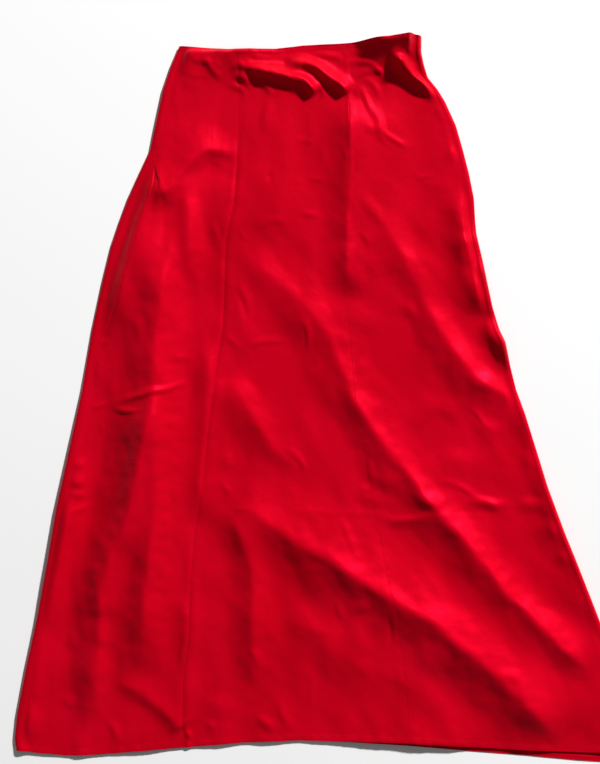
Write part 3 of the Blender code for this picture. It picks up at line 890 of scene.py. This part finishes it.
class Tube:
    """Cross-sections of the flat tube, a row for each. `down` is the share of the way from waist to hem."""

    def __init__(self, down):
        self.down = np.asarray(down, float).reshape(-1, 1)
        self.left = along(LEFT_EDGE, self.height_at(0.0, FRONT_HEM))
        self.right = along(RIGHT_EDGE, self.height_at(1.0, FRONT_HEM))
        self.flat_start = self.left + ROLL_REACH
        self.flat_end = self.right - ROLL_REACH
        self.round = 2 * ROLL_REACH + self.flat_end - self.flat_start

    def height_at(self, across, hem):
        """Y of every row, at a share of the way across, on the layer with this hem."""
        waist = along(WAIST, across)
        return waist + self.down * (along(hem, across) - waist)

    def seam(self, table, across):
        """Distance round the tube, from its left edge, of a seam."""
        return ROLL_REACH + along(table, self.height_at(across, FRONT_HEM)) - self.flat_start

    def outer_points(self, run, on_top):
        """Outer-face points at distances round the tube from its left edge, on one layer or the other."""
        # How far each point has turned into the roll at its side: none on the flat, a quarter at the edge
        x = np.clip(self.left + run, self.flat_start, self.flat_end)
        into_left = np.clip(1 - run / ROLL_REACH, 0, 1)
        into_right = np.clip(1 - (self.round - run) / ROLL_REACH, 0, 1)
        turn = np.maximum(into_left, into_right) * math.pi / 2
        outward = np.where(into_right > 0, 1.0, -1.0)
        edge_x = x + outward * ROLL_REACH * np.sin(turn)
        across = (edge_x - self.left) / (self.right - self.left)
        y = np.where(on_top, self.height_at(across, FRONT_HEM), self.height_at(across, BACK_HEM))
        from_waist = along(WAIST, across) - y
        from_hem = y - np.where(on_top, along(FRONT_HEM, across), along(BACK_HEM, across))
        from_left, from_right = x - self.flat_start, self.flat_end - x
        from_side = np.minimum(from_left, from_right)
        top = WALL + LAYER_GAP + front_rise(x, y, from_left, from_right)
        half = (top - WALL) / 2
        up = np.where(on_top, 1.0, -1.0)
        facing = up * np.cos(turn)
        z = WALL + half + half * facing + WALL * facing
        spots = (x, y, from_side, from_waist, from_hem)
        detail = np.where(on_top, front_detail(*spots), back_detail(*spots))
        z = z + detail * np.abs(np.cos(turn))
        # The front's face settles softly at its lowest level, and doesn't sink into the back
        settled = FRONT_LOWEST + SETTLE * np.logaddexp(0.0, (z - FRONT_LOWEST) / SETTLE)
        z = np.where(on_top, z + (settled - z) * np.abs(np.cos(turn)), z)
        return np.stack([edge_x + outward * WALL * np.sin(turn), y, z], axis=-1)


def spread(start, end, count):
    """Columns from start to end in every row."""
    return start + (end - start) * np.linspace(0, 1, count + 1)


def beside_seam(start, end, step):
    """Evenly spaced columns, with closer ones next to the seam that they start at."""
    count = cells(float(np.abs(end - start).max()), step)
    toward = np.sign((end - start).mean())
    near = start + toward * np.array(SEAM_COLUMNS[:-1])
    return np.concatenate([near, spread(start + toward * SEAM_COLUMNS[-1], end, count)], axis=1)


def between_seams(start, end, step):
    """Evenly spaced columns, with closer ones next to the seams at both ends."""
    middle = (start + end) / 2
    return np.concatenate(
        [beside_seam(start, middle, step)[:, :-1], beside_seam(end, middle, step)[:, ::-1]], axis=1
    )


def panel_places(name, tube, step):
    """Distance round the tube of one panel's columns in each row, negative past the left edge."""
    half_gap = SEAM_GAP / 2
    wrap = along(LEFT_WRAP, tube.height_at(0.0, FRONT_HEM))
    left_edge = np.zeros_like(wrap)
    left_seam = tube.seam(LEFT_SEAM, LEFT_SEAM_ACROSS)
    right_seam = tube.seam(RIGHT_SEAM, RIGHT_SEAM_ACROSS)
    if name == "front_left":
        places = between_seams(wrap + half_gap, left_seam - half_gap, step)
    elif name == "front_centre":
        places = between_seams(left_seam + half_gap, right_seam - half_gap, step)
    elif name == "back_centre":
        places = between_seams(right_seam - half_gap, left_seam + half_gap, step)
    elif name == "back_left":
        flat = beside_seam(left_seam - half_gap, left_edge + ROLL_REACH, step)
        rolled = spread(left_edge + ROLL_REACH, left_edge, ROLL_CELLS)
        over = -spread(left_edge, wrap - half_gap, cells(float(wrap.max()), FRONT_STEP))
        places = np.concatenate([flat[:, :-1], rolled[:, :-1], over], axis=1)
    else:
        flat = beside_seam(right_seam + half_gap, tube.round - ROLL_REACH, step)
        rolled = spread(tube.round - ROLL_REACH, tube.round - half_gap, ROLL_CELLS)
        places = np.concatenate([flat[:, :-1], rolled], axis=1)
        if name == "back_right":
            places = places[:, ::-1]
    return places


def row_shares(step):
    """Shares of the way down for the rows, closer together along the waist edge and the hem."""
    edge = np.array(EDGE_ROWS) / CUT_LENGTH
    middle = np.linspace(edge[-1], 1 - edge[-1], cells(CUT_LENGTH, step) + 1)
    return np.concatenate([edge[:-1], middle, 1 - edge[-2::-1]])


def cut_size(tube, places):
    """Width, length and area in metres of the flat cut, without its turnings."""
    widths = np.abs(places[:, -1] - places[:, 0])
    lengths = tube.down[:, 0] * CUT_LENGTH
    area = float(np.sum((widths[1:] + widths[:-1]) / 2 * np.diff(lengths)))
    return widths.max() * MM, lengths[-1] * MM, area * MM * MM


def mesh_object(name, points, faces, material):
    """A smooth-shaded mesh from points in millimetres, in the tables' coordinates."""
    spots = (np.asarray(points).reshape(-1, 3) - (MIDDLE_X, MIDDLE_Y, 0)) * MM
    data = bpy.data.meshes.new(name)
    data.from_pydata(spots.tolist(), [], faces.tolist())
    data.materials.append(material)
    data.shade_smooth()
    piece = bpy.data.objects.new(name, data)
    bpy.context.scene.collection.objects.link(piece)
    return piece


def grid_faces(rows, columns):
    """Quads of a grid whose rows run down and columns to the right, facing up."""
    corner = np.arange(rows * columns).reshape(rows, columns)
    quads = [corner[:-1, :-1], corner[1:, :-1], corner[1:, 1:], corner[:-1, 1:]]
    return np.stack(quads, axis=-1).reshape(-1, 4)


def make_gore(name, material):
    """One gore: its outer face from the tube, a thin shell inwards, thicker along its turned hem."""
    is_front = name.startswith("front")
    step = FRONT_STEP if is_front else BACK_STEP
    shares = row_shares(step)
    tube = Tube(shares)
    places = panel_places(name, tube, step)
    points = tube.outer_points(np.abs(places), is_front | (places < 0))
    rows, columns = places.shape
    piece = mesh_object(name + "_cloth", points, grid_faces(rows, columns), material)
    hem_rows = int(np.sum((1 - shares) * CUT_LENGTH < HEM_TURN))
    turned = piece.vertex_groups.new(name="hem_turn")
    turned.add(list(range(columns * (rows - hem_rows), columns * rows)), 1.0, "REPLACE")
    wall = piece.modifiers.new("wall", "SOLIDIFY")
    wall.offset = -1.0
    wall.thickness = HEM_PLIES * SHELL * MM
    wall.vertex_group = turned.name
    wall.thickness_vertex_group = 1 / HEM_PLIES
    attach(piece, "root")
    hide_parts(name)
    return piece, cut_size(tube, places)


def make_stitches(name, tube, places, on_top, material):
    """A row of stitches: short arched threads along the cloth, a few rings of points each."""
    points = tube.outer_points(places, on_top).reshape(-1, len(STITCH_ARCH), 3)
    along_row = points[:, -1] - points[:, 0]
    along_row /= np.linalg.norm(along_row, axis=1, keepdims=True)
    out = np.array([0.0, 0.0, 1.0 if on_top else -1.0])
    aside = np.cross(along_row, out)
    angles = np.arange(STITCH_SIDES) / STITCH_SIDES * 2 * math.pi
    thickness = STITCH_RADIUS * np.array(STITCH_TAPER)
    lift = STITCH_RADIUS * np.array(STITCH_ARCH) * (1.0 if on_top else STITCH_LIFT_BELOW)
    rings = (
        points[:, :, None, :]
        + (lift[None, :, None] + thickness[None, :, None] * np.sin(angles))[..., None] * out
        + (thickness[None, :, None] * np.cos(angles))[..., None] * aside[:, None, None, :]
    )
    corner = np.arange(rings[..., 0].size).reshape(rings.shape[:-1])
    beside = np.roll(corner, -1, axis=2)
    sides = np.stack([corner[:, :-1], beside[:, :-1], beside[:, 1:], corner[:, 1:]], axis=-1)
    piece = mesh_object(name, rings, sides.reshape(-1, 4), material)
    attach(piece, "root")
    return piece


def stitch_row(name, from_edge, at_hem, on_top, material):
    """Stitches all the way across one layer, a fixed distance from its waist edge or hem."""
    hem = FRONT_HEM if on_top else BACK_HEM
    row = -1 if at_hem else 0
    width = RIGHT_EDGE[row][1] - LEFT_EDGE[row][1]
    margin = ROLL_REACH + (0 if on_top else EDGE_CALM)
    starts = np.arange(margin, width - margin - STITCH_LENGTH, STITCH_PITCH)
    places = (starts[:, None] + np.linspace(0, STITCH_LENGTH, len(STITCH_ARCH))).reshape(-1, 1)
    across = places / width
    length = along(WAIST, across) - along(hem, across)
    down = from_edge / length
    return make_stitches(name, Tube(1 - down if at_hem else down), places, on_top, material)


def set_inputs(node, **values):
    """Sets a shader node's inputs by name, with _ for the spaces in a name."""
    for name, value in values.items():
        node.inputs[name.replace("_", " ")].default_value = value


def add_node(tree, kind, **values):
    """A new shader node of this kind, with some of its inputs set."""
    node = tree.nodes.new("ShaderNode" + kind)
    set_inputs(node, **values)
    return node


def new_material(name):
    """A material, its node tree and its Principled shader."""
    material = bpy.data.materials.new(name)
    material.use_nodes = True
    tree = material.node_tree
    return material, tree, tree.nodes["Principled BSDF"]


def satin_material(name):
    """Plain red satin: fine crossed threads, an uneven dye and a sheen along its folds."""
    material, tree, shader = new_material(name)
    link = tree.links.new
    place = add_node(tree, "TexCoord").outputs["Object"]

    cloud = add_node(tree, "TexNoise", Scale=7.0, Detail=3.0)
    link(place, cloud.inputs["Vector"])
    dye = add_node(tree, "ValToRGB")
    deep, bright = dye.color_ramp.elements
    deep.position = 0.3
    deep.color = DYE_DEEP
    bright.position = 0.7
    bright.color = DYE_BRIGHT
    link(cloud.outputs["Fac"], dye.inputs["Fac"])
    link(dye.outputs["Color"], shader.inputs["Base Color"])

    slub = add_node(tree, "TexNoise", Scale=160.0, Detail=2.0)
    link(place, slub.inputs["Vector"])
    gloss = add_node(tree, "MapRange", To_Min=0.36, To_Max=0.5)
    link(slub.outputs["Fac"], gloss.inputs["Value"])
    link(gloss.outputs["Result"], shader.inputs["Roughness"])

    warp = add_node(tree, "TexWave", Scale=780.0, Distortion=0.6, Detail_Scale=40.0)
    warp.bands_direction = "X"
    weft = add_node(tree, "TexWave", Scale=260.0, Distortion=0.8, Detail_Scale=40.0)
    weft.bands_direction = "DIAGONAL"
    link(place, warp.inputs["Vector"])
    link(place, weft.inputs["Vector"])
    threads = add_node(tree, "Mix", Factor=0.35)
    link(warp.outputs["Fac"], threads.inputs["A"])
    link(weft.outputs["Fac"], threads.inputs["B"])
    weave = add_node(tree, "Bump", Strength=0.12, Distance=0.0001)
    link(threads.outputs["Result"], weave.inputs["Height"])
    rumple = add_node(tree, "Bump", Strength=0.25, Distance=0.0006)
    link(slub.outputs["Fac"], rumple.inputs["Height"])
    link(weave.outputs["Normal"], rumple.inputs["Normal"])
    link(rumple.outputs["Normal"], shader.inputs["Normal"])

    set_inputs(shader, Metallic=0.13, Specular_IOR_Level=0.25, Specular_Tint=SATIN_TINT)
    set_inputs(shader, Sheen_Weight=0.12, Sheen_Roughness=0.4, Sheen_Tint=SATIN_TINT)
    material.diffuse_color = PLAIN_RED
    return material


def thread_material(name):
    """Twisted red sewing thread, a little duller than the satin."""
    material, tree, shader = new_material(name)
    place = add_node(tree, "TexCoord").outputs["Object"]
    twist = add_node(tree, "TexNoise", Scale=900.0)
    dye = add_node(tree, "ValToRGB")
    deep, bright = dye.color_ramp.elements
    deep.color = THREAD_DEEP
    bright.color = THREAD_BRIGHT
    tree.links.new(place, twist.inputs["Vector"])
    tree.links.new(twist.outputs["Fac"], dye.inputs["Fac"])
    tree.links.new(dye.outputs["Color"], shader.inputs["Base Color"])
    set_inputs(shader, Roughness=0.55, Specular_Tint=THREAD_TINT)
    return material


def make_floor():
    """A plain pale floor under the cloth, which is part of the stage."""
    bpy.ops.mesh.primitive_plane_add(size=FLOOR_SIZE, location=(0, 0, 0))
    floor = bpy.context.object
    floor.name = "floor"
    material, _, shader = new_material("pale_floor")
    set_inputs(shader, Base_Color=FLOOR_COLOUR, Roughness=0.9, Specular_IOR_Level=0.1)
    floor.data.materials.append(material)


def make_light():
    """One large soft lamp and a plain white sky."""
    lamp = bpy.data.lights.new("window", "AREA")
    lamp.shape = "DISK"
    lamp.size = LAMP_SIZE
    lamp.energy = LAMP_POWER
    window = bpy.data.objects.new("window", lamp)
    bpy.context.scene.collection.objects.link(window)
    flat = math.cos(LIGHT_ELEVATION)
    toward = Vector(
        (flat * math.cos(LIGHT_FROM), flat * math.sin(LIGHT_FROM), math.sin(LIGHT_ELEVATION))
    )
    window.location = toward * LAMP_DISTANCE
    window.rotation_mode = "QUATERNION"
    window.rotation_quaternion = toward.to_track_quat("Z", "Y")
    world = bpy.data.worlds.new("studio")
    world.use_nodes = True
    set_inputs(world.node_tree.nodes["Background"], Color=WHITE, Strength=FILL_STRENGTH)
    bpy.context.scene.world = world


def make_camera():
    """Straight above the cloth, with the photograph's frame on it."""
    data = bpy.data.cameras.new("camera")
    data.sensor_width = SENSOR
    data.lens = SENSOR * CAMERA_DISTANCE / (FRAME_HEIGHT * MM)
    data.clip_end = CAMERA_REACH
    camera = bpy.data.objects.new("camera", data)
    bpy.context.scene.collection.objects.link(camera)
    camera.location = (
        (FRAME_CENTRE_X - MIDDLE_X) * MM,
        (FRAME_CENTRE_Y - MIDDLE_Y) * MM,
        CAMERA_DISTANCE,
    )
    bpy.context.scene.camera = camera
    bpy.context.scene.view_settings.view_transform = "Standard"


def main():
    make_camera()
    make_light()
    make_floor()
    satin = satin_material("satin_face")
    thread = thread_material("thread")
    gores = {}
    for layer in ("back", "front"):
        for gore in ("left", "centre", "right"):
            name = f"{layer}_{gore}"
            gores[name] = make_gore(name, satin)
    stitches = {
        "front": [
            stitch_row("waist_stitches_front", STITCH_FROM_WAIST, False, True, thread),
            stitch_row("hem_stitches_front", STITCH_FROM_HEM, True, True, thread),
        ],
        "back": [
            stitch_row("waist_stitches_back", STITCH_FROM_WAIST, False, False, thread),
            stitch_row("hem_stitches_back", STITCH_FROM_HEM, True, False, thread),
        ],
    }
    for name, (piece, (width, length, area)) in gores.items():
        layer, gore = name.split("_")


main()
